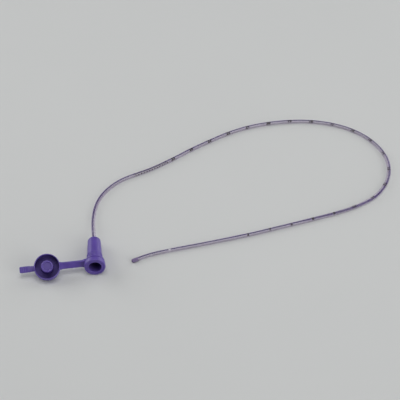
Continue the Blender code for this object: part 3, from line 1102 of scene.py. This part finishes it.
    def build_scale(self) -> Piece:
        """Build the printed scale: a number each centimetre, and two plain rows of ticks before them.

        Returns:
            The piece.
        """
        shell = Shell()
        low, high = self.mark_numbers
        for number in range(low, high + 1):
            place = self.line.length - self.first_mark - (number - low) * self.mark_pitch
            points, faces = self.numeral(str(number), place)
            shell.take(points, faces, [0] * len(faces))
        radius = self.radius + np.repeat((self.ink_depth, -self.ink_depth), 8)
        for row in self.tick_rows:
            for tick in range(row.count):
                middle = self.line.length - self.ticks_from_tip + (tick + 0.5) * row.pitch
                along = middle + row.half_along * np.array((-1.0, 1.0))
                across = np.linspace(-1.0, 1.0, 8) * row.half_round / self.radius
                across = across + float(self.print_angle(np.array(middle))) + row.aside
                offset = np.concatenate((across, across[::-1]))
                shell.add(self.line.wrap(along[:, None], offset, radius))
        return shell.make("tube_scale", [self.ink])

    def build(self, leaves_at: Array) -> Piece:
        """Args:
            leaves_at: Point where the tube leaves the hub; not used.

        Returns:
            The wall, which the others lie on.
        """
        wall, stripe = self.build_wall(), self.build_stripe()
        tip, scale = self.build_tip(), self.build_scale()
        self.cut_eyes([wall, stripe])
        finish_piece(wall, Body.HUB, ("feeding_tube",))
        for piece in (stripe, tip, scale):
            finish_piece(piece, Body.HUB)
        return wall


@dataclass(frozen=True)
class Lamp:
    """A square soft lamp: its name, place, side in metres and power in watts."""

    name: str
    place: Place
    size: float
    power: float


@dataclass(frozen=True)
class Studio:
    """The photograph's camera, the pale floor and the soft lamps."""

    target: Place = (61.99 * MM, 30.92 * MM, 0.0)
    offset: Place = (-0.0653, -0.6659, 0.7431)
    distance: float = 665.0 * MM
    lens: float = 135.0
    floor_reach: float = 3.0
    lamps: tuple[Lamp, ...] = (
        Lamp("overhead", (0.03, -0.01, 0.75), 0.5, 1.9),
        Lamp("left_rear", (-0.70, 0.45, 0.30), 0.8, 5.0),
        Lamp("right_rear", (0.75, 0.45, 0.30), 0.8, 3.0),
        Lamp("right_front", (0.75, -0.60, 0.30), 0.8, 4.7),
    )
    sky_colour: Colour = (0.97, 0.98, 1.0)
    sky_strength: float = 0.14

    def camera(self) -> Piece:
        """Make the camera and look through it.

        Returns:
            The camera.
        """
        data = bpy.data.cameras.new("photo_camera")
        data.lens, data.sensor_width, data.clip_start = self.lens, 36.0, 0.01
        camera = put_in_scene("photo_camera", data)
        offset = Vector(self.offset).normalized()
        camera.location = Vector(self.target) + offset * self.distance
        camera.rotation_euler = (-offset).to_track_quat("-Z", "Y").to_euler()
        bpy.context.scene.camera = camera
        return camera

    def hang(self, lamp: Lamp) -> None:
        """Hang a lamp so that it faces the middle of the object."""
        data = bpy.data.lights.new(lamp.name, "AREA")
        data.shape, data.size, data.energy = "SQUARE", lamp.size, lamp.power
        hung = put_in_scene(lamp.name, data)
        hung.location = lamp.place
        away = Vector(lamp.place) - Vector(self.target)
        hung.rotation_euler = away.to_track_quat("Z", "Y").to_euler()

    def sky(self) -> bpy.types.World:
        """Make the even light from all round, which the camera itself sees as pale as the floor.

        Returns:
            The world.
        """
        tree = ShaderTree(bpy.data.worlds.new("soft_sky"))
        even = {"Color": (*self.sky_colour, 1.0), "Strength": self.sky_strength}
        light = tree.node("ShaderNodeBackground", {}, even)
        seen = tree.node("ShaderNodeBackground", {}, {"Color": (*BACKDROP, 1.0)})
        by_camera = tree.node("ShaderNodeLightPath", output="Is Camera Ray")
        mixed = tree.node("ShaderNodeMixShader", {}, {0: by_camera, 1: light, 2: seen})
        return tree.close(mixed, "ShaderNodeOutputWorld")

    def build(self, paper: Material) -> None:
        """Lay the floor, hang the lamps and set the sky's even light.

        Args:
            paper: Material of the floor.
        """
        mesh = bpy.data.meshes.new("floor")
        reach = self.floor_reach
        corners = [(-reach, -reach, 0), (reach, -reach, 0), (reach, reach, 0), (-reach, reach, 0)]
        mesh.from_pydata(corners, [], [(0, 1, 2, 3)])
        mesh.materials.append(paper)
        floor = put_in_scene("floor", mesh)
        for lamp in self.lamps:
            self.hang(lamp)
        bpy.context.scene.world = self.sky()
        bpy.context.scene.view_settings.view_transform = "Standard"


def main() -> None:
    """Build every piece, in the order camera, tube, hub, strap, cap, room."""
    logging.basicConfig(level=logging.INFO, format="%(name)s %(message)s")
    # The third colour of the plastic is painted shade for the bore, the groove and the stud's face.
    purple = MouldedPlastic("moulded_purple", light=(0.122, 0.075, 0.378), deep=(0.098, 0.059, 0.318),
                            recessed=(0.030, 0.014, 0.090)).make()
    clear, inside = (
        ClearTubing(name, (0.45, 0.33, 0.58), (0.36, 0.26, 0.47), cover, edge_cover).make()
        for name, cover, edge_cover in (("clear_tubing", 0.15, 0.30), ("clear_lumen", 0.05, 0.06))
    )
    violet = ClearTubing("violet_stripe", (0.108, 0.064, 0.245), (0.080, 0.047, 0.185), 0.55, 0.40).make()
    tip = Ink("violet_tip", (0.21, 0.15, 0.31), (0.14, 0.10, 0.21)).make()
    ink = Ink("scale_ink", (0.034, 0.023, 0.025), (0.021, 0.015, 0.017), 0.5, 0.3 * MM).make()
    paper = PaperFloor("pale_paper", (0.655, 0.665, 0.66), (0.64, 0.65, 0.645)).make()

    studio = Studio()
    studio.camera()
    hub = FunnelHub(purple)
    leaves_at = hub.exit()
    axis = unit(hub.axis)
    straight = [leaves_at + axis * 5.2 * MM, leaves_at, leaves_at - axis * 3.0 * MM]
    knots = np.concatenate((straight, ROUTE))
    MarkedTube(TubeLine(knots, floor=0.837 * MM), clear, inside, violet, tip, ink).build(leaves_at)
    hub.build()
    TetherStrap(purple).build()
    cap = PlugCap(purple)
    cap.build_cup()
    cap.build_tab()
    studio.build(paper)


if __name__ == "__main__":
    main()
